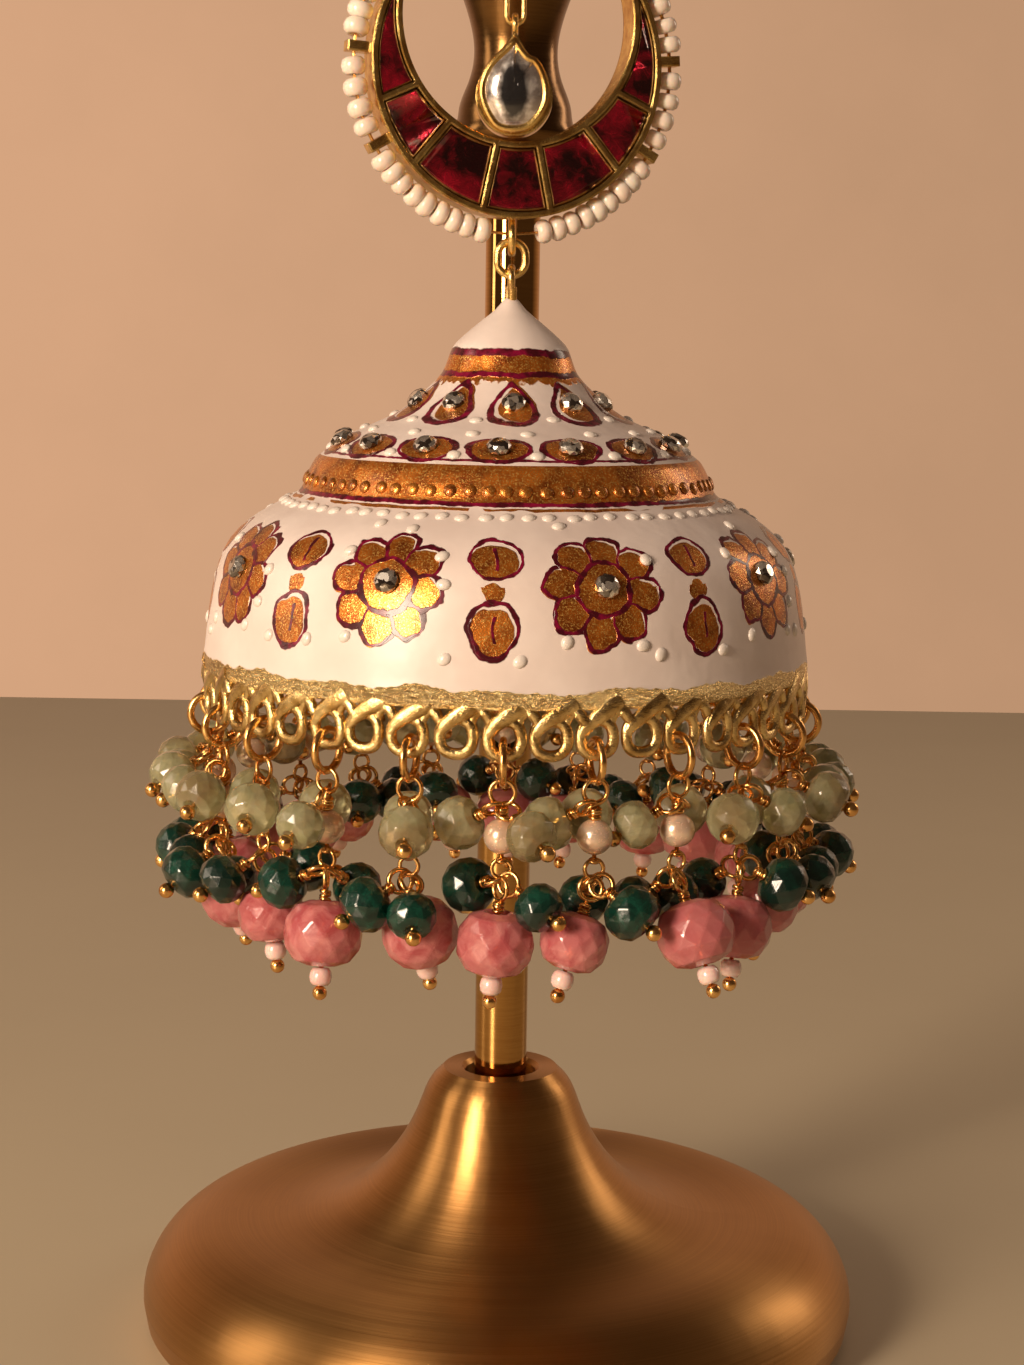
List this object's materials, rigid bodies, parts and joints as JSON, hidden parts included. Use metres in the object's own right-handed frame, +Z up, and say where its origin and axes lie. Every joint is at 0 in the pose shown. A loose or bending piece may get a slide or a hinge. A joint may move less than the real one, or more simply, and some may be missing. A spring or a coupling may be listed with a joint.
{
  "type": "jhumka earring on display stand",
  "caption": "Bell-shaped enamelled jhumka earring with a beaded fringe, hung from a jewelled crescent on a plain turned brass stand",
  "frame": {"origin": "centre of the stand's foot on the surface it stands on", "axes": "+Z up; the earring hangs on the -Y side of the pole and faces -Y; +X is to the viewer's right"},
  "size_m": [0.079, 0.1139, 0.1772],
  "materials": {
    "stand_brass": "brushed",
    "gold": "polished",
    "ruby": "polished",
    "clear_stone": "polished",
    "pearl": "lustre",
    "enamel": "gloss enamel",
    "pale_green": "polished",
    "dark_green": "polished",
    "pink": "polished"
  },
  "bodies": {
    "stand": {"stand_base": "stand_brass", "stand_pole": "stand_brass", "stand_finial": "stand_brass", "stand_arm": "stand_brass", "crescent_frame": "gold", "ruby_1": "ruby", "ruby_2": "ruby", "ruby_3": "ruby", "ruby_4": "ruby", "ruby_5": "ruby", "ruby_6": "ruby", "ruby_7": "ruby", "pear_bezel": "gold", "pear_stone": "clear_stone", "pear_link": "gold", "pearl_string_left_lower": "pearl", "pearl_string_left_middle": "pearl", "pearl_string_left_upper": "pearl", "pearl_string_right_lower": "pearl", "pearl_string_right_middle": "pearl", "pearl_string_right_upper": "pearl"},
    "link": {"link_ring": "gold"},
    "bell": {"dome": "enamel", "pale_green_beads": "pale_green", "dark_green_beads": "dark_green", "pearl_beads": "pearl", "seed_beads": "pearl", "drop_wires": "gold", "pink_bead_01": "pink", "pink_bead_02": "pink", "pink_bead_03": "pink", "pink_bead_04": "pink", "pink_bead_05": "pink", "pink_bead_06": "pink", "pink_bead_07": "pink", "pink_bead_08": "pink", "pink_bead_09": "pink", "pink_bead_10": "pink", "pink_bead_11": "pink", "pink_bead_12": "pink", "pink_bead_13": "pink", "pink_bead_14": "pink", "pink_bead_15": "pink", "pink_bead_16": "pink", "pink_bead_17": "pink", "pink_bead_18": "pink", "pink_bead_19": "pink", "pink_bead_20": "pink", "pink_bead_21": "pink", "pink_bead_22": "pink"}
  },
  "joints": [
    {"name": "link_swing", "type": "hinge", "parent": "stand", "child": "link", "pos_m": [0, -0.042, 0.11745], "axis": [1, 0, 0], "range_deg": [-28, 4]},
    {"name": "bell_sway", "type": "hinge", "parent": "link", "child": "bell", "pos_m": [0, -0.042, 0.11545], "axis": [0, 1, 0], "range_deg": [-25, 25]}
  ]
}
